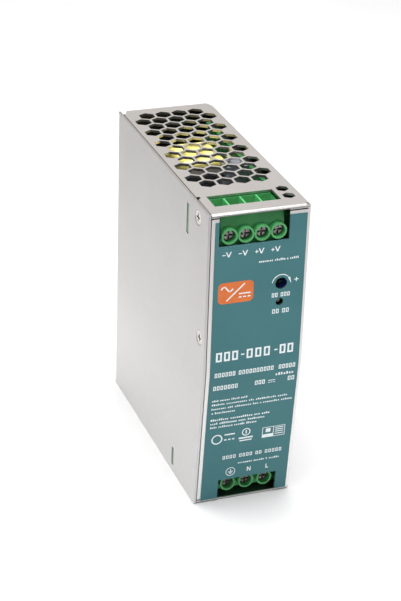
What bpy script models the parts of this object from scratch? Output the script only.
"""DIN rail power supply: folded steel case, rail bracket with sprung latch, screw terminals and boards.

Sizes are in millimetres and are turned into metres by point() and the MM factor.
x runs from the side cover (-) to the closed side (+), y from the front panel to the rail, z upwards.
"""

import math

import bmesh
import bpy
from mathutils import Matrix, Vector

MM = 0.001
GAP = 0.3                    # between pieces that touch

# Case
HALF_WIDTH = 20.0
HEIGHT = 125.2
DEPTH = 107.5
SHEET = 1.0
BEND_Z = 60.0                # the front panel leans back below this height
SETBACK = 5.6                # how far back the panel's bottom edge is
BEND_RADIUS = 1.1
COVER_INNER = -HALF_WIDTH + SHEET
CHASSIS_LEFT = COVER_INNER + GAP
RIGHT_INNER = HALF_WIDTH - SHEET
TOP_INNER = HEIGHT - SHEET

# Ventilation
VENT_PITCH = 6.91
VENT_ROW = VENT_PITCH * math.sqrt(3) / 2
VENT_FLATS = 5.95
TOP_VENT_START = 27.9
TOP_VENT_ROWS = 13
BOTTOM_VENT_START = 40.0
BOTTOM_VENT_ROWS = 11
SMALL_VENT_FLATS = 4.4
SMALL_VENT_X = 14.7
SMALL_VENT_Y = (9.6, 16.2)

# Screws, M3
SCREW_R = 1.45
SCREW_HOLE_R = 1.7
HEAD_R = 2.9
HEAD_SINK_R = 3.2
HEAD_HEIGHT = 1.1
COVER_SCREW_LENGTH = 4.4
BOARD_SCREW_LENGTH = 7.6
BRACKET_SCREW_LENGTH = 9.0
SIDE_SCREWS = ((11.0, 120.0), (5.6, 73.4))
BACK_FLANGE_SCREWS = ((101.8, 22.0), (101.8, 103.0))
BOARD_SCREWS = ((15.0, 70.0), (89.0, 115.0), (89.0, 11.0))
BRACKET_SCREWS = ((-12.8, 89.0), (12.8, 89.0))

# Rail interface, for a 35 mm top-hat rail
SEAT_Y = 113.5
SEAT_STEP = 0.4
RAIL_Z = 65.5
RAIL_HALF = 17.5
BRIM_SPACE = 1.4
LIP = 2.3
LIP_REACH = 3.2
HOOK_BACK = SEAT_Y + BRIM_SPACE + LIP
BRACKET_HALF = 16.0
BRACKET_Z = (30.0, 92.0)
BRACKET_Y = DEPTH + GAP
LATCH_HALF = 10.1
LATCH_TOP = 51.6
LATCH_TRAVEL = 4.0
STEM_HALF = 3.0
STEM_TOP = 60.0
POCKET_TOP = 76.0
POCKET_Y = 111.5
SPRING_R = 1.2
SPRING_WIRE = 0.5
SPRING_TURNS = 8

# Main board, with its components on the -x side
BOARD = 1.6
MAIN_BOARD_X = (13.4, 15.0)
COMPONENT_X = MAIN_BOARD_X[0] - GAP

# Terminals
TUBE_R = 3.15
BORE_R = 2.45
TERMINAL_HEAD_R = 2.2
TERMINAL_HEAD_HEIGHT = 1.9
BORE_DEPTH = 3.8             # to the shoulder under the screw's head
CAVITY_START = 6.8
CAVITY_END = 17.9
CLAMP_START = 9.0
CLAMP_WALL = 1.5
CLAMP_LENGTH = 8.2
CLAMP_HALF_X = 2.4
CLAMP_HALF_Z = 2.8
BAR_Y = 13.2
BAR_THICK = 0.8
BAR_HALF = 1.4
OUTPUT_X = tuple(-11.55 + 6.35 * n for n in range(4))
OUTPUT_FRONT = 0.0
OUTPUT_DEPTH = 20.6
OUTPUT_AXIS_Z = 116.0
INPUT_X = tuple(-5.65 + 7.62 * n for n in range(3))
INPUT_FRONT = 6.6
INPUT_DEPTH = 23.4
INPUT_AXIS_Z = 6.3
TOP_NOTCH = (-15.8, 11.6, 112.4)
BOTTOM_NOTCH = (-10.4, 13.7, 9.8)

# Front label
LABEL_X = (-17.2, 18.4)
LABEL_Z = (1.2, 122.0)
LABEL_GAP = 0.05
LABEL_FRONT = 0.3

# Indicator and adjuster
TRIMMER_X, TRIMMER_Z = 9.4, 94.7
LED_X, LED_Z = 9.1, 87.1
TRIMMER_HOLE_R = 2.35
LED_HOLE_R = 1.5

ROUND = 20                   # facets of a small round piece
BIG_ROUND = 24

for leftover in list(bpy.data.objects):
    bpy.data.objects.remove(leftover, do_unlink=True)


def new_collection(name):
    collection = bpy.data.collections.new(name)
    bpy.context.scene.collection.children.link(collection)
    return collection


PARTS = new_collection("din_rail_power_supply")
CUTTERS = new_collection("cutters")

# The frame's origin is the middle of the footprint
ROOT = bpy.data.objects.new("power_supply_origin", None)
ROOT.location = (0.0, -(HOOK_BACK - LABEL_FRONT) / 2 * MM, 0.0)
PARTS.objects.link(ROOT)


# ---- materials ----

def make_material(name, color, roughness, metallic=0.0):
    material = bpy.data.materials.new(name)
    material.use_nodes = True
    shader = material.node_tree.nodes["Principled BSDF"]
    shader.inputs["Base Color"].default_value = (*color, 1.0)
    shader.inputs["Roughness"].default_value = roughness
    shader.inputs["Metallic"].default_value = metallic
    return material


STEEL = make_material("plated_sheet", (0.72, 0.71, 0.70), 0.38, 1.0)
FASTENER = make_material("plated_fastener", (0.78, 0.77, 0.75), 0.28, 1.0)
LABEL = make_material("printed_label", (0.06, 0.20, 0.21), 0.45)
TERMINAL_GREEN = make_material("terminal_plastic", (0.05, 0.33, 0.12), 0.42)
CIRCUIT_GREEN = make_material("circuit_board", (0.02, 0.16, 0.06), 0.4)
BRACKET_ZINC = make_material("bracket_casting", (0.55, 0.55, 0.56), 0.42, 1.0)
LATCH_PLASTIC = make_material("latch_plastic", (0.03, 0.03, 0.035), 0.5)
SPRING_STEEL = make_material("spring_wire", (0.6, 0.6, 0.6), 0.25, 1.0)
COPPER_ALLOY = make_material("contact_brass", (0.75, 0.60, 0.32), 0.3, 1.0)
FILM = make_material("insulating_film", (0.75, 0.72, 0.62), 0.35)
TRIMMER_BLUE = make_material("trimmer_plastic", (0.04, 0.16, 0.55), 0.35)
ROTOR_WHITE = make_material("rotor_plastic", (0.80, 0.80, 0.76), 0.4)
LENS_GREEN = make_material("led_lens", (0.10, 0.35, 0.12), 0.15)
FERRITE = make_material("ferrite", (0.05, 0.05, 0.05), 0.55)
TAPE = make_material("winding_tape", (0.85, 0.80, 0.35), 0.35)
CHOKE_WIRE = make_material("choke_winding", (0.50, 0.22, 0.06), 0.3, 0.8)
SLEEVE = make_material("capacitor_sleeve", (0.03, 0.03, 0.04), 0.35)
FILM_BOX = make_material("capacitor_box", (0.78, 0.66, 0.12), 0.4)
HEATSINK = make_material("heatsink_aluminium", (0.70, 0.72, 0.75), 0.35, 1.0)
EPOXY = make_material("component_epoxy", (0.02, 0.02, 0.02), 0.5)
CERAMIC = make_material("fuse_ceramic", (0.82, 0.80, 0.74), 0.4)


# ---- shapes, in millimetres ----

def point(x, y, z):
    return Vector((x, y, z)) * MM


def add_box(shape, low, high):
    size = [b - a for a, b in zip(low, high)]
    centre = [(a + b) / 2 for a, b in zip(low, high)]
    place = Matrix.Translation(point(*centre)) @ Matrix.Diagonal((*(s * MM for s in size), 1.0))
    bmesh.ops.create_cube(shape, size=1.0, matrix=place)


def along(direction, start):
    """A matrix that turns +Z to direction and moves the origin to start."""
    turn = Vector((0, 0, 1)).rotation_difference(Vector(direction)).to_matrix().to_4x4()
    return Matrix.Translation(point(*start)) @ turn


def add_cylinder(shape, start, direction, radius, length, end_radius=None, sides=ROUND):
    end_radius = radius if end_radius is None else end_radius
    centre = Matrix.Translation((0, 0, length / 2 * MM))
    bmesh.ops.create_cone(
        shape, cap_ends=True, segments=sides, radius1=radius * MM, radius2=end_radius * MM,
        depth=length * MM, matrix=along(direction, start) @ centre,
    )


def add_prism(shape, outline, place, thickness):
    """Raise a flat outline, given in place's own X and Y, along place's Z."""
    corners = [shape.verts.new(place @ point(u, v, 0)) for u, v in outline]
    face = shape.faces.new(corners)
    raised = bmesh.ops.extrude_face_region(shape, geom=[face])["geom"]
    lift = place.to_3x3() @ point(0, 0, thickness)
    bmesh.ops.translate(shape, vec=lift, verts=[v for v in raised if isinstance(v, bmesh.types.BMVert)])


def across(x_start):
    """For outlines drawn in (y, z) and raised along +X."""
    turn = Matrix(((0, 0, 1), (1, 0, 0), (0, 1, 0))).to_4x4()
    return Matrix.Translation(point(x_start, 0, 0)) @ turn


def upward(z_start):
    """For outlines drawn in (x, y) and raised along +Z."""
    return Matrix.Translation(point(0, 0, z_start))


def arc(centre, radius, start, end, steps):
    angles = [math.radians(start + (end - start) * n / steps) for n in range(steps + 1)]
    return [(centre[0] + radius * math.cos(a), centre[1] + radius * math.sin(a)) for a in angles]


def new_object(name, mesh, collection):
    thing = bpy.data.objects.new(name, mesh)
    collection.objects.link(thing)
    thing.parent = ROOT
    return thing


def to_mesh(name, shape, pivot=(0, 0, 0)):
    bmesh.ops.translate(shape, vec=-point(*pivot), verts=shape.verts)
    bmesh.ops.recalc_face_normals(shape, faces=shape.faces)
    mesh = bpy.data.meshes.new(name)
    shape.to_mesh(mesh)
    shape.free()
    return mesh


def part(name, shape, material, pivot=(0, 0, 0)):
    """A finished piece: its origin is at pivot, which is on the axis of a piece that moves."""
    thing = new_object(name, to_mesh(name, shape, pivot), PARTS)
    thing.location = point(*pivot)
    thing.data.materials.append(material)
    return thing


def boolean(target, shape, operation):
    label = f"{target.name}_{operation.lower()}_{len(target.modifiers)}"
    tool = new_object(label, to_mesh(label, shape), CUTTERS)
    tool.hide_render = True
    tool.display_type = "WIRE"
    modifier = target.modifiers.new(label, "BOOLEAN")
    modifier.operation = operation
    modifier.solver = "EXACT"
    modifier.object = tool


def cut(target, shape):
    boolean(target, shape, "DIFFERENCE")


def join(target, shape):
    boolean(target, shape, "UNION")


def cut_box(target, low, high):
    shape = bmesh.new()
    add_box(shape, low, high)
    cut(target, shape)


def join_box(target, low, high):
    shape = bmesh.new()
    add_box(shape, low, high)
    join(target, shape)


def cut_cylinder(target, start, direction, radius, length, end_radius=None):
    shape = bmesh.new()
    add_cylinder(shape, start, direction, radius, length, end_radius)
    cut(target, shape)


def round_edges(target, width, segments=2, angle=30):
    modifier = target.modifiers.new("rounded", "BEVEL")
    modifier.width = width * MM
    modifier.segments = segments
    modifier.limit_method = "ANGLE"
    modifier.angle_limit = math.radians(angle)


def box_part(name, low, high, material, rounding=0.0):
    shape = bmesh.new()
    add_box(shape, low, high)
    thing = part(name, shape, material)
    if rounding:
        round_edges(thing, rounding)
    return thing


def turned_part(name, profile, start, direction, material, sides=16):
    """Turn (radius, height) points, listed from the top of the axis down the outside, about direction."""
    mesh = bpy.data.meshes.new(name)
    points = [(radius * MM, 0.0, height * MM) for radius, height in profile]
    mesh.from_pydata(points, [(n, n + 1) for n in range(len(points) - 1)], [])
    thing = new_object(name, mesh, PARTS)
    thing.matrix_local = along(direction, start)
    thing.data.materials.append(material)
    screw = thing.modifiers.new("turned", "SCREW")
    screw.axis = "Z"
    screw.steps = sides
    screw.render_steps = sides
    screw.use_merge_vertices = True
    screw.merge_threshold = 0.00001
    screw.use_smooth_shade = True
    return thing


# ---- fasteners ----

def cross_outline(reach, half):
    """A plus sign, for a cross recess."""
    quarter = [(reach, -half), (reach, half), (half, half)]
    outline = []
    for turn in range(4):
        c, s = round(math.cos(turn * math.pi / 2)), round(math.sin(turn * math.pi / 2))
        outline += [(c * x - s * y, s * x + c * y) for x, y in quarter]
    return outline


def cut_recess(target, face, direction, reach, half, depth):
    """A cross recess sunk from the head's face, which points along direction."""
    shape = bmesh.new()
    inward = [-d for d in direction]
    start = [f + d * 0.2 for f, d in zip(face, direction)]
    add_prism(shape, cross_outline(reach, half), along(inward, start), depth + 0.2)
    cut(target, shape)


def countersunk_screw(name, face, direction, length):
    """A flat-head screw whose face is just under face, pointing out along direction."""
    sunk = 0.15
    profile = [
        (0.0, -sunk), (HEAD_R - 0.1, -sunk), (HEAD_R, -sunk - 0.15),
        (SCREW_R, -sunk - HEAD_HEIGHT), (SCREW_R, 0.5 - length), (SCREW_R - 0.4, -length), (0.0, -length),
    ]
    screw = turned_part(name, profile, face, direction, FASTENER)
    start = [f - d * sunk for f, d in zip(face, direction)]
    cut_recess(screw, start, direction, reach=1.6, half=0.33, depth=0.8)
    return screw


def sink_hole(target, face, direction, depth):
    """A clearance hole with a countersink, entered at face and running depth inwards."""
    inward = [-d for d in direction]
    outside = [f + d for f, d in zip(face, direction)]
    cut_cylinder(target, outside, inward, SCREW_HOLE_R, depth + 1.0)
    throat = SCREW_HOLE_R - 0.1
    mouth = HEAD_SINK_R + 1.0
    cut_cylinder(target, outside, inward, mouth, mouth - throat, throat)


# ---- case ----

def side_outline(inset=0.0):
    """The case seen from the side, in (y, z), from the top front corner downwards."""
    return [
        (inset, HEIGHT - inset), (inset, BEND_Z), (SETBACK + inset, inset),
        (DEPTH - inset, inset), (DEPTH - inset, HEIGHT - inset),
    ]


def panel_y(z):
    """Where the front panel's outer face is at height z."""
    return 0.0 if z >= BEND_Z else SETBACK * (1 - z / BEND_Z)


def vent_rows(start, rows, keep=lambda x, y: True):
    """Hexagon centres of the staggered grille, four and five in a row."""
    for row in range(rows):
        count = 4 + row % 2
        for place in range(count):
            x = (place - (count - 1) / 2) * VENT_PITCH
            y = start + row * VENT_ROW
            if keep(x, y):
                yield x, y


def add_hexagon(shape, x, y, z, flats, height):
    corner = flats / math.sqrt(3)
    outline = [
        (x + corner * math.sin(n * math.pi / 3), y + corner * math.cos(n * math.pi / 3)) for n in range(6)
    ]
    add_prism(shape, outline, upward(z), height)


def folded_sheet(name, shape):
    """Turn an open surface of flat panels into bent sheet metal."""
    thing = part(name, shape, STEEL)
    round_edges(thing, BEND_RADIUS, segments=3, angle=4)
    solidify = thing.modifiers.new("sheet", "SOLIDIFY")
    solidify.thickness = SHEET * MM
    solidify.offset = -1.0
    solidify.use_even_offset = True
    return thing


def extrude_edges(shape, edges, shift):
    grown = bmesh.ops.extrude_edge_only(shape, edges=edges)["geom"]
    corners = [v for v in grown if isinstance(v, bmesh.types.BMVert)]
    bmesh.ops.translate(shape, vec=point(*shift), verts=corners)


def build_chassis():
    shape = bmesh.new()
    corners = [shape.verts.new(point(HALF_WIDTH, y, z)) for y, z in side_outline()]
    shape.faces.new(corners)
    back_edge = {corners[3], corners[4]}
    flanges = [edge for edge in shape.edges if set(edge.verts) != back_edge]
    extrude_edges(shape, flanges, (CHASSIS_LEFT - HALF_WIDTH, 0, 0))
    chassis = folded_sheet("chassis", shape)

    # Tabs that the cover's screws go into: one bent down from the top plate, one back from the front panel
    tab_y, tab_z = (3.4, 16.4), 114.5
    outer, bend = CHASSIS_LEFT, 1.5
    cut_box(chassis, (outer - 1, tab_y[0], TOP_INNER - 1), (outer + bend, tab_y[1], HEIGHT + 1))
    profile = [(outer + bend + 1, HEIGHT)]
    profile += arc((outer + bend, HEIGHT - bend), bend, 90, 180, 4)
    profile += [(outer, tab_z), (outer + SHEET, tab_z), (outer + SHEET, TOP_INNER - 0.6)]
    profile += [(outer + SHEET + 0.5, TOP_INNER), (outer + bend + 1, TOP_INNER)]
    tab = bmesh.new()
    backward = Matrix.Translation(point(0, tab_y[0], 0)) @ Matrix(((1, 0, 0), (0, 0, 1), (0, 1, 0))).to_4x4()
    add_prism(tab, profile, backward, tab_y[1] - tab_y[0])
    join(chassis, tab)
    cut_cylinder(chassis, (outer + 0.6, tab_y[1], TOP_INNER - 3), (0, 0, 1), 0.8, 6)
    join_box(chassis, (outer, SHEET / 2, 67.5), (outer + SHEET, 11.0, 79.0))
    for y, z in SIDE_SCREWS:
        cut_cylinder(chassis, (outer - 1, y, z), (1, 0, 0), SCREW_HOLE_R, SHEET + 2)

    # Seams that part the front panel from the top and bottom plates, open up to the closed side's bend
    seam = 0.5
    lip = 1.3
    for z in (HEIGHT - lip - seam, lip):
        cut_box(chassis, (outer - 1, -1, z), (HALF_WIDTH - 1.4, SHEET + SETBACK + 0.8, z + seam))
    for z in (0.0, HEIGHT):
        cut_cylinder(chassis, (HALF_WIDTH - 1.0, panel_y(z) - 2, z), (0, 1, 0), 0.8, 4)

    # Terminal notches in the front panel, wire windows in the top and bottom plates
    left, right, low = TOP_NOTCH
    cut_box(chassis, (left, -1, low), (right, SHEET + 0.01, TOP_INNER))
    left, right, high = BOTTOM_NOTCH
    cut_box(chassis, (left, -1, SHEET), (right, SETBACK + SHEET + 0.4, high))
    cut_box(chassis, (-15.0, 7.2, TOP_INNER - 1), (10.8, 16.6, HEIGHT + 1))
    cut_box(chassis, (-9.6, 13.8, -1), (13.2, 23.2, SHEET + 1))

    # Openings for the adjuster and the indicator
    cut_cylinder(chassis, (TRIMMER_X, -1, TRIMMER_Z), (0, 1, 0), TRIMMER_HOLE_R, 3)
    cut_cylinder(chassis, (LED_X, -1, LED_Z), (0, 1, 0), LED_HOLE_R, 3)

    # Rear corners of the top and bottom plates are nipped off
    for side in (-1, 1):
        edge = CHASSIS_LEFT if side < 0 else HALF_WIDTH
        outline = [(edge - side * 2.6, DEPTH + 1), (edge + side, DEPTH + 1), (edge + side, DEPTH - 4.6),
                   (edge, DEPTH - 4.6)]
        if side > 0:
            outline.reverse()
        for z in (-1.0, TOP_INNER - 0.6):
            nip = bmesh.new()
            add_prism(nip, outline, upward(z), SHEET + 1.6)
            cut(chassis, nip)

    # Grilles
    vents = bmesh.new()
    for x, y in vent_rows(TOP_VENT_START, TOP_VENT_ROWS):
        add_hexagon(vents, x, y, TOP_INNER - 1, VENT_FLATS, SHEET + 2)
    for y in SMALL_VENT_Y:
        add_hexagon(vents, SMALL_VENT_X, y, TOP_INNER - 1, SMALL_VENT_FLATS, SHEET + 2)
    for x, y in vent_rows(BOTTOM_VENT_START, BOTTOM_VENT_ROWS):
        add_hexagon(vents, x, y, -1, VENT_FLATS, SHEET + 2)
    cut(chassis, vents)

    # Bosses that carry the main board
    for y, z in BOARD_SCREWS:
        boss = bmesh.new()
        boss_start = MAIN_BOARD_X[1] + GAP
        add_cylinder(boss, (boss_start, y, z), (1, 0, 0), 3.6, RIGHT_INNER + 0.5 - boss_start)
        join(chassis, boss)
    for y, z in BOARD_SCREWS + BACK_FLANGE_SCREWS:
        sink_hole(chassis, (HALF_WIDTH, y, z), (1, 0, 0), 6.0)


def build_side_cover():
    """The removable side, folded round the back and tucked in along the closed side."""
    tuck_x = RIGHT_INNER - GAP
    shape = bmesh.new()
    corners = [shape.verts.new(point(-HALF_WIDTH, y, z)) for y, z in side_outline()]
    # The back panel is lower than the side by the thickness of the top and bottom plates
    low = shape.verts.new(point(-HALF_WIDTH, DEPTH, SHEET + GAP))
    high = shape.verts.new(point(-HALF_WIDTH, DEPTH, TOP_INNER - GAP))
    shape.faces.new(corners[:4] + [low, high] + corners[4:])
    back = [edge for edge in shape.edges if set(edge.verts) == {low, high}]
    extrude_edges(shape, back, (tuck_x + HALF_WIDTH, 0, 0))
    shape.verts.ensure_lookup_table()
    far = [edge for edge in shape.edges if all(abs(v.co.x - tuck_x * MM) < 1e-6 for v in edge.verts)]
    extrude_edges(shape, far, (0, -11.5, 0))
    cover = folded_sheet("side_cover", shape)
    for y, z in SIDE_SCREWS:
        sink_hole(cover, (-HALF_WIDTH, y, z), (-1, 0, 0), 2.5)
    for y, z in BACK_FLANGE_SCREWS:
        cut_cylinder(cover, (tuck_x - 3, y, z), (1, 0, 0), SCREW_HOLE_R, 4)
    for x, z in BRACKET_SCREWS:
        cut_cylinder(cover, (x, DEPTH - 3, z), (0, 1, 0), SCREW_HOLE_R, 4)
    # Slots that the tabs of the terminal boards stand in
    for y, low, high in ((OUTPUT_FRONT + OUTPUT_DEPTH, 109.0, 121.0), (INPUT_FRONT + INPUT_DEPTH, 3.2, 11.0)):
        cut_box(cover, (-HALF_WIDTH - 1, y, low), (COVER_INNER + 1, y + BOARD + 2 * GAP, high))


def build_label():
    """A thin printed sheet that follows the bent front panel."""
    low, high = LABEL_Z
    front, back = LABEL_FRONT, LABEL_GAP
    lean = SETBACK / BEND_Z
    outline = [
        (-back, high), (-front, high), (-front, BEND_Z), (SETBACK - lean * low - front, low),
        (SETBACK - lean * low - back, low), (-back, BEND_Z),
    ]
    shape = bmesh.new()
    add_prism(shape, outline, across(LABEL_X[0]), LABEL_X[1] - LABEL_X[0])
    label = part("front_label", shape, LABEL)
    left, right, notch = TOP_NOTCH
    cut_box(label, (left, -2, notch), (right, 2, high + 1))
    left, right, notch = BOTTOM_NOTCH
    cut_box(label, (left, -2, low - 1), (right, SETBACK + 2, notch))
    cut_cylinder(label, (TRIMMER_X, -2, TRIMMER_Z), (0, 1, 0), TRIMMER_HOLE_R, 4)
    cut_cylinder(label, (LED_X, -2, LED_Z), (0, 1, 0), LED_HOLE_R, 4)


def build_insulation():
    sheet = box_part("insulation_sheet", (17.1, 8.0, 4.0), (17.4, 94.5, 121.0), FILM)
    for y, z in BOARD_SCREWS:
        cut_cylinder(sheet, (16, y, z), (1, 0, 0), 4.0, 3)


def build_case_screws():
    places = [((-HALF_WIDTH, y, z), (-1, 0, 0)) for y, z in SIDE_SCREWS]
    places += [((HALF_WIDTH, y, z), (1, 0, 0)) for y, z in BACK_FLANGE_SCREWS]
    for number, (face, direction) in enumerate(places, 1):
        countersunk_screw(f"cover_screw_{number}", face, direction, COVER_SCREW_LENGTH)
    for number, (y, z) in enumerate(BOARD_SCREWS, 1):
        countersunk_screw(f"board_screw_{number}", (HALF_WIDTH, y, z), (1, 0, 0), BOARD_SCREW_LENGTH)


# ---- rail bracket and latch ----

def build_bracket():
    """The casting on the back: seat for the rail, fixed upper hook, guides for the latch."""
    top = RAIL_Z + RAIL_HALF + GAP
    floor = SEAT_Y - SEAT_STEP
    seat = (RAIL_Z - RAIL_HALF + 5.5, top - LIP_REACH - 0.6)
    outline = [
        (BRACKET_Y, BRACKET_Z[0]), (floor, BRACKET_Z[0]), (floor, seat[0]), (SEAT_Y, seat[0]),
        (SEAT_Y, seat[1]), (floor, seat[1]), (floor, top), (SEAT_Y + BRIM_SPACE, top),
        (SEAT_Y + BRIM_SPACE, top - LIP_REACH + 0.6), (SEAT_Y + BRIM_SPACE + 0.6, top - LIP_REACH),
        (HOOK_BACK, top - LIP_REACH + 0.6), (HOOK_BACK, top + 3.0), (HOOK_BACK - 1.2, top + 4.2),
        (floor, top + 4.2), (floor, BRACKET_Z[1]), (BRACKET_Y, BRACKET_Z[1]),
    ]
    shape = bmesh.new()
    add_prism(shape, outline, across(-BRACKET_HALF), 2 * BRACKET_HALF)
    bracket = part("rail_bracket", shape, BRACKET_ZINC)
    slot = LATCH_HALF + GAP
    cut_box(bracket, (-slot, BRACKET_Y - 1, BRACKET_Z[0] - 1), (slot, SEAT_Y + 1, LATCH_TOP + 0.4))
    stem = STEM_HALF + GAP
    cut_box(bracket, (-stem, BRACKET_Y - 1, LATCH_TOP), (stem, POCKET_Y, POCKET_TOP))
    # Grooves in the guide rails, which the latch's side tongues run in
    groove = slot + 1.6
    cut_box(bracket, (-groove, BRACKET_Y - 1, BRACKET_Z[0] - 1), (groove, BRACKET_Y + 2.4, LATCH_TOP + 0.4))
    for x, z in BRACKET_SCREWS:
        sink_hole(bracket, (x, floor, z), (0, 1, 0), 7.0)
    for number, (x, z) in enumerate(BRACKET_SCREWS, 1):
        countersunk_screw(f"bracket_screw_{number}", (x, floor, z), (0, 1, 0), BRACKET_SCREW_LENGTH)


def build_latch():
    """The sliding hook under the rail; it is pulled down to let the rail go."""
    bottom = RAIL_Z - RAIL_HALF - GAP
    floor = SEAT_Y - SEAT_STEP
    start = BRACKET_Y + GAP
    low = 12.0
    outline = [
        (start, low), (start + 3.4, low), (start + 3.4, low + 16), (floor, low + 19), (floor, bottom - 4.2),
        (HOOK_BACK - 1.2, bottom - 4.2), (HOOK_BACK, bottom - 3.0), (HOOK_BACK, bottom + LIP_REACH - 0.6),
        (SEAT_Y + BRIM_SPACE + 0.6, bottom + LIP_REACH), (SEAT_Y + BRIM_SPACE, bottom + LIP_REACH - 0.6),
        (SEAT_Y + BRIM_SPACE, bottom), (floor, bottom), (floor, LATCH_TOP), (start, LATCH_TOP),
    ]
    pivot = (0, start, bottom)
    shape = bmesh.new()
    add_prism(shape, outline, across(-LATCH_HALF), 2 * LATCH_HALF)
    latch = part("rail_latch", shape, LATCH_PLASTIC, pivot)
    join_box(latch, (-STEM_HALF, start, LATCH_TOP - 1), (STEM_HALF, start + 2.8, STEM_TOP))
    tongue = LATCH_HALF + 1.5
    join_box(latch, (-tongue, start, BRACKET_Z[0] + 2), (tongue, start + 1.8, LATCH_TOP))
    # Slot for a screwdriver's tip in the pull tab
    cut_box(latch, (-3.5, start - 1, low + 3), (3.5, start + 5, low + 6))


def build_latch_spring():
    """An extension spring between the latch's stem and the roof of its pocket."""
    low, high = STEM_TOP + GAP, POCKET_TOP - GAP
    steps = SPRING_TURNS * 8
    curve = bpy.data.curves.new("latch_spring", "CURVE")
    curve.dimensions = "3D"
    curve.bevel_depth = SPRING_WIRE / 2 * MM
    curve.bevel_resolution = 1
    curve.use_fill_caps = True
    wire = curve.splines.new("POLY")
    wire.points.add(steps)
    span = high - low - SPRING_WIRE
    for n, at in enumerate(wire.points):
        turn = 2 * math.pi * SPRING_TURNS * n / steps
        height = low + SPRING_WIRE / 2 + span * n / steps
        at.co = (*point(SPRING_R * math.cos(turn), SPRING_R * math.sin(turn), height), 1.0)
    spring = new_object("latch_spring", curve, PARTS)
    spring.location = point(0, BRACKET_Y + 1.9, 0)
    curve.materials.append(SPRING_STEEL)


# ---- terminals ----

def terminal_frame(front, axis_z, side):
    """Turn (x, distance behind the front, distance from the axis towards the wire entry) into a point."""
    def place(x, back, rise):
        return x, front + back, axis_z + side * rise
    return place


def box_between(place, low, high):
    a, b = place(*low), place(*high)
    return [min(p) for p in zip(a, b)], [max(p) for p in zip(a, b)]


def build_housing(name, centres, half_width, place, wire_face, depth, links):
    """A terminal block: a body with a screw tube, a clamp cavity and a wire funnel for each pole."""
    left, right = centres[0] - half_width, min(centres[-1] + half_width, COMPONENT_X)
    foot = -7.6
    outline = [
        (2.5, foot + 1.5), (2.5, 3.3), (4.6, wire_face), (depth, wire_face), (depth, foot), (5.0, foot),
    ]
    shape = bmesh.new()
    points = [place(0, back, rise)[1:] for back, rise in outline]
    add_prism(shape, points, across(left), right - left)
    housing = part(name, shape, TERMINAL_GREEN)
    tubes, bores, holes, cavities = bmesh.new(), bmesh.new(), bmesh.new(), bmesh.new()
    funnels, tails = bmesh.new(), bmesh.new()
    for x in centres:
        add_cylinder(tubes, place(x, 0, 0), (0, 1, 0), TUBE_R, 3.5)
        add_cylinder(bores, place(x, -0.5, 0), (0, 1, 0), BORE_R, BORE_DEPTH + 0.5)
        neck = CAVITY_START - BORE_DEPTH + 1
        add_cylinder(holes, place(x, BORE_DEPTH - 0.5, 0), (0, 1, 0), SCREW_HOLE_R, neck)
        add_box(cavities, *box_between(place, (x - 2.75, CAVITY_START, -6.2), (x + 2.75, CAVITY_END, 3.3)))
        add_funnel(funnels, place, x, wire_face)
        tail = BAR_HALF + GAP
        add_box(tails, *box_between(place, (x - tail, CAVITY_END - 1, -6.2), (x + tail, depth + 1, -4.4)))
    join(housing, tubes)
    for tool in (bores, holes, cavities, funnels, tails):
        cut(housing, tool)
    for first, second in links:
        low = (centres[first], BAR_Y - GAP, -6.2)
        cut_box(housing, *box_between(place, low, (centres[second], BAR_Y + 3.2, -4.4)))
    return housing


def add_funnel(shape, place, x, wire_face):
    """A four-sided taper from the wire face down into the cavity."""
    rings = ((wire_face + 0.2, 2.9, 7.7, 16.3), (2.9, 2.2, 9.2, 16.0))
    corners = []
    for rise, half, start, end in rings:
        flat = ((x - half, start), (x + half, start), (x + half, end), (x - half, end))
        corners.append([shape.verts.new(point(*place(u, back, rise))) for u, back in flat])
    outer, inner = corners
    shape.faces.new(outer)
    shape.faces.new(inner)
    for n in range(4):
        shape.faces.new((outer[n], outer[(n + 1) % 4], inner[(n + 1) % 4], inner[n]))


def build_terminal_screw(name, place, x):
    shoulder = BORE_DEPTH - GAP
    top = shoulder - TERMINAL_HEAD_HEIGHT
    profile = [
        (0.0, -top), (TERMINAL_HEAD_R - 0.3, -top), (TERMINAL_HEAD_R, -top - 0.3),
        (TERMINAL_HEAD_R, -shoulder), (SCREW_R, -shoulder), (SCREW_R, -12.3), (SCREW_R - 0.4, -12.7),
        (0.0, -12.7),
    ]
    screw = turned_part(name, profile, place(x, 0, 0), (0, -1, 0), FASTENER)
    cut_recess(screw, place(x, top, 0), (0, -1, 0), reach=1.7, half=0.4, depth=0.9)


def build_clamp(name, place, x):
    """The rising clamp: a square loop, open for the wire, with the screw through its front wall."""
    low, high = (x - CLAMP_HALF_X, CLAMP_START, -CLAMP_HALF_Z), (
        x + CLAMP_HALF_X, CLAMP_START + CLAMP_LENGTH, CLAMP_HALF_Z)
    shape = bmesh.new()
    add_box(shape, *box_between(place, low, high))
    clamp = part(name, shape, FASTENER, place(x, CLAMP_START, 0))
    wall = 0.6
    inside = (
        (low[0] + wall, low[1] + CLAMP_WALL, low[2] - 1), (high[0] - wall, high[1] - 1.0, high[2] + 1))
    cut_box(clamp, *box_between(place, *inside))
    cut_cylinder(clamp, place(x, CLAMP_START - 1, 0), (0, 1, 0), SCREW_HOLE_R, CLAMP_WALL + 1.5)


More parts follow.
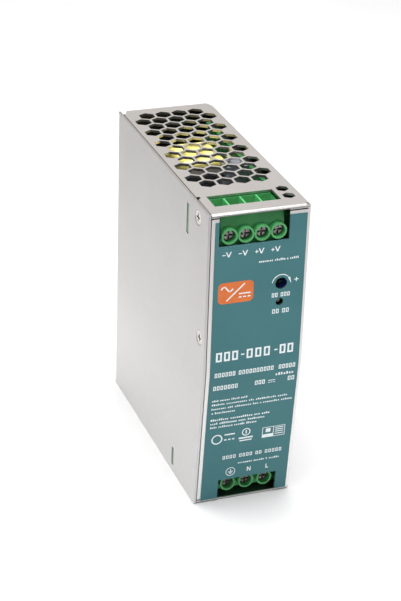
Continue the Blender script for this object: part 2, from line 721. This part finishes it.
def build_contact(name, place, centres, depth):
    """The fixed bar that each clamp pulls its wire against, with its tail towards the board."""
    foot = -5.6
    outline = [
        (BAR_Y, 2.6), (BAR_Y, foot), (depth, foot), (depth, foot + BAR_THICK),
        (BAR_Y + BAR_THICK, foot + BAR_THICK), (BAR_Y + BAR_THICK, 2.6),
    ]
    outline = [place(0, back, rise)[1:] for back, rise in outline]
    bars = bmesh.new()
    for x in centres:
        add_prism(bars, outline, across(x - BAR_HALF), 2 * BAR_HALF)
    contact = part(name, bars, COPPER_ALLOY)
    if len(centres) > 1:
        low = (centres[0], BAR_Y + 0.2, foot + 0.1)
        join_box(contact, *box_between(place, low, (centres[-1], BAR_Y + 2.8, foot + BAR_THICK - 0.1)))


def build_terminals():
    output = terminal_frame(OUTPUT_FRONT, OUTPUT_AXIS_Z, 1)
    mains = terminal_frame(INPUT_FRONT, INPUT_AXIS_Z, -1)
    output_face = TOP_INNER - GAP - OUTPUT_AXIS_Z
    mains_face = INPUT_AXIS_Z - SHEET - GAP
    linked = ((0, 1), (2, 3))
    build_housing("output_terminal_block", OUTPUT_X, 2.85, output, output_face, OUTPUT_DEPTH, linked)
    build_housing("mains_terminal_block", INPUT_X, 3.75, mains, mains_face, INPUT_DEPTH, ())
    for group, centres, place in (("output", OUTPUT_X, output), ("mains", INPUT_X, mains)):
        for number, x in enumerate(centres, 1):
            build_terminal_screw(f"{group}_screw_{number}", place, x)
            build_clamp(f"{group}_clamp_{number}", place, x)
    build_contact("output_contact_negative", output, OUTPUT_X[:2], OUTPUT_DEPTH)
    build_contact("output_contact_positive", output, OUTPUT_X[2:], OUTPUT_DEPTH)
    for number, x in enumerate(INPUT_X, 1):
        build_contact(f"mains_contact_{number}", mains, (x,), INPUT_DEPTH)


# ---- boards, adjuster and indicator ----

def build_boards():
    outline = [(3.0, 122.0), (3.0, 62.0), (9.0, 3.0), (95.0, 3.0), (95.0, 122.0)]
    shape = bmesh.new()
    add_prism(shape, outline, across(MAIN_BOARD_X[0]), BOARD)
    board = part("main_board", shape, CIRCUIT_GREEN)
    for y, z in BOARD_SCREWS:
        cut_cylinder(board, (MAIN_BOARD_X[0] - 1, y, z), (1, 0, 0), SCREW_HOLE_R, 4)

    tab = -HALF_WIDTH + 0.1
    for name, back, low, high, tab_low, tab_high in (
        ("output_terminal_board", OUTPUT_FRONT + OUTPUT_DEPTH, 99.0, 122.0, 109.4, 120.6),
        ("mains_terminal_board", INPUT_FRONT + INPUT_DEPTH, 2.6, 20.0, 3.6, 10.6),
    ):
        start = back + GAP
        board_high = (COMPONENT_X, start + BOARD, high)
        terminal_board = box_part(name, (-18.0, start, low), board_high, CIRCUIT_GREEN)
        join_box(terminal_board, (tab, start, tab_low), (-17.0, start + BOARD, tab_high))
    box_part("indicator_board", (-2.0, 9.2, 80.0), (COMPONENT_X, 9.2 + BOARD, 102.0), CIRCUIT_GREEN)


def build_trimmer():
    half, front, back = 3.4, 2.6, 8.9
    low = (TRIMMER_X - half, front, TRIMMER_Z - half)
    body = box_part("trimmer_body", low, (TRIMMER_X + half, back, TRIMMER_Z + half), TRIMMER_BLUE, 0.2)
    cut_cylinder(body, (TRIMMER_X, front - 1, TRIMMER_Z), (0, 1, 0), 2.9, 3.6)
    profile = [(0.0, -2.9), (2.3, -2.9), (2.6, -3.2), (2.6, -4.8), (0.0, -4.8)]
    rotor = turned_part("trimmer_rotor", profile, (TRIMMER_X, 0, TRIMMER_Z), (0, -1, 0), ROTOR_WHITE)
    cut_recess(rotor, (TRIMMER_X, 2.9, TRIMMER_Z), (0, -1, 0), reach=1.9, half=0.35, depth=0.9)


def build_led():
    radius = 1.35
    angles = [math.radians(a) for a in range(0, 91, 15)]
    profile = [(radius * math.sin(a), -2.35 + radius * math.cos(a)) for a in angles]
    profile += [(radius, -6.5), (1.8, -6.5), (1.8, -7.4), (radius, -7.4), (radius, -8.9), (0.0, -8.9)]
    turned_part("status_led", profile, (LED_X, 0, LED_Z), (0, -1, 0), LENS_GREEN)


# ---- power components on the main board ----

def build_transformer():
    core_x, core_y, core_z = (-14.6, COMPONENT_X), (51.5, 83.5), (92.0, 112.0)
    plate, leg = 4.4, (62.8, 72.2)
    core = box_part("transformer_core", *zip(core_x, core_y, core_z), FERRITE)
    # The bobbin's raised flange in front of the winding
    join_box(core, (core_x[0] + 0.4, core_y[0] + 0.5, core_z[1] - 1), (core_x[1] - 1, core_y[0] + 4.2, 118.4))
    window = (core_x[0] + plate, core_x[1] - plate)
    for start, end in ((core_y[0] + 5.0, leg[0]), (leg[1], core_y[1] - 5.0)):
        cut_box(core, (window[0], start, core_z[0] - 1), (window[1], end, core_z[1] + 1))
    low = (window[0] + GAP, core_y[0] + 5.5, 86.5)
    high = (window[1] - GAP, core_y[1] - 5.5, 121.6)
    winding = box_part("transformer_winding", low, high, TAPE)
    bevel = winding.modifiers.new("rounded", "BEVEL")
    bevel.width = 2.5 * MM
    bevel.segments = 4
    leg_high = (window[1] + 1, leg[1] + GAP, core_z[1] + GAP)
    cut_box(winding, (window[0] - 1, leg[0] - GAP, core_z[0] - GAP), leg_high)


def can(name, x_start, y, z, radius, length):
    """An electrolytic capacitor standing on the board, with a rolled groove near its base."""
    rim = 0.5
    profile = [
        (0.0, length), (radius - rim, length), (radius, length - rim), (radius, 3.0), (radius - 0.5, 2.5),
        (radius - 0.5, 2.0), (radius, 1.5), (radius, rim), (radius - rim, 0.0), (0.0, 0.0),
    ]
    turned_part(name, profile, (x_start + length, y, z), (-1, 0, 0), SLEEVE, BIG_ROUND)


def build_capacitors():
    for number, z in enumerate((113.6, 102.2), 1):
        can(f"output_capacitor_{number}", COMPONENT_X - 20.0, 29.0, z, 5.0, 20.0)
    for number, z in enumerate((75.0, 53.0), 1):
        can(f"bulk_capacitor_{number}", COMPONENT_X - 29.0, 84.0, z, 9.0, 29.0)
    box_part("mains_capacitor", (-4.0, 56.0, 8.0), (COMPONENT_X, 65.0, 34.0), FILM_BOX, 0.6)


def build_heatsinks():
    for name, y, z in (("primary_heatsink", 48.0, (42.0, 82.0)), ("output_heatsink", 43.7, (86.0, 118.5))):
        foot = 6.0
        outline = [(-14.0, y), (COMPONENT_X, y), (COMPONENT_X, y + foot), (COMPONENT_X - 2, y + foot),
                   (COMPONENT_X - 2, y + 2.6), (-12.0, y + 2.6), (-12.0, y + foot), (-14.0, y + foot)]
        shape = bmesh.new()
        add_prism(shape, outline, upward(z[0]), z[1] - z[0])
        plate = part(name, shape, HEATSINK)
    # The output plate is stepped down at the left and folded back under the grille at the right
    cut_box(plate, (-15.0, 43.0, 112.0), (1.5, 50.5, 124.0))
    fold = bmesh.new()
    outline = [(43.9, 117.0), (46.1, 117.0), (46.1, 122.2), (50.5, 122.2), (50.5, 123.6), (43.9, 123.6)]
    add_prism(fold, outline, across(3.0), 9.5)
    join(plate, fold)
    box_part("switching_transistor", (-9.0, 43.0, 54.0), (7.0, 47.7, 64.5), EPOXY, 0.4)
    box_part("output_rectifier", (-9.0, 38.7, 97.0), (7.0, 43.4, 107.5), EPOXY, 0.4)
    box_part("bridge_rectifier", (-5.0, 30.0, 40.0), (COMPONENT_X, 34.2, 58.0), EPOXY, 0.5)


def build_wound_parts():
    for name, y, z, outer, inner, x in (
        ("line_choke", 80.0, 24.0, 11.0, 4.5, (0.0, COMPONENT_X)),
        ("output_inductor", 63.5, 66.0, 8.0, 3.5, (3.0, COMPONENT_X)),
    ):
        shape = bmesh.new()
        add_cylinder(shape, (x[0], y, z), (1, 0, 0), outer, x[1] - x[0], sides=BIG_ROUND)
        ring = part(name, shape, CHOKE_WIRE)
        round_edges(ring, 2.0, segments=3, angle=60)
        cut_cylinder(ring, (x[0] - 1, y, z), (1, 0, 0), inner, x[1] - x[0] + 2)


def build_small_parts():
    profile = [(0.0, 20.0), (2.6, 20.0), (2.6, 0.0), (0.0, 0.0)]
    turned_part("fuse", profile, (9.5, 40.0, 10.0), (0, 0, 1), CERAMIC)
    disc = [(0.0, 4.6), (5.4, 4.6), (6.4, 3.6), (6.4, 1.0), (5.4, 0.0), (0.0, 0.0)]
    turned_part("inrush_thermistor", disc, (6.0, 46.0, 18.0), (0, 1, 0), EPOXY)


build_chassis()
build_side_cover()
build_label()
build_insulation()
build_case_screws()
build_bracket()
build_latch()
build_latch_spring()
build_terminals()
build_boards()
build_trimmer()
build_led()
build_transformer()
build_capacitors()
build_heatsinks()
build_wound_parts()
build_small_parts()
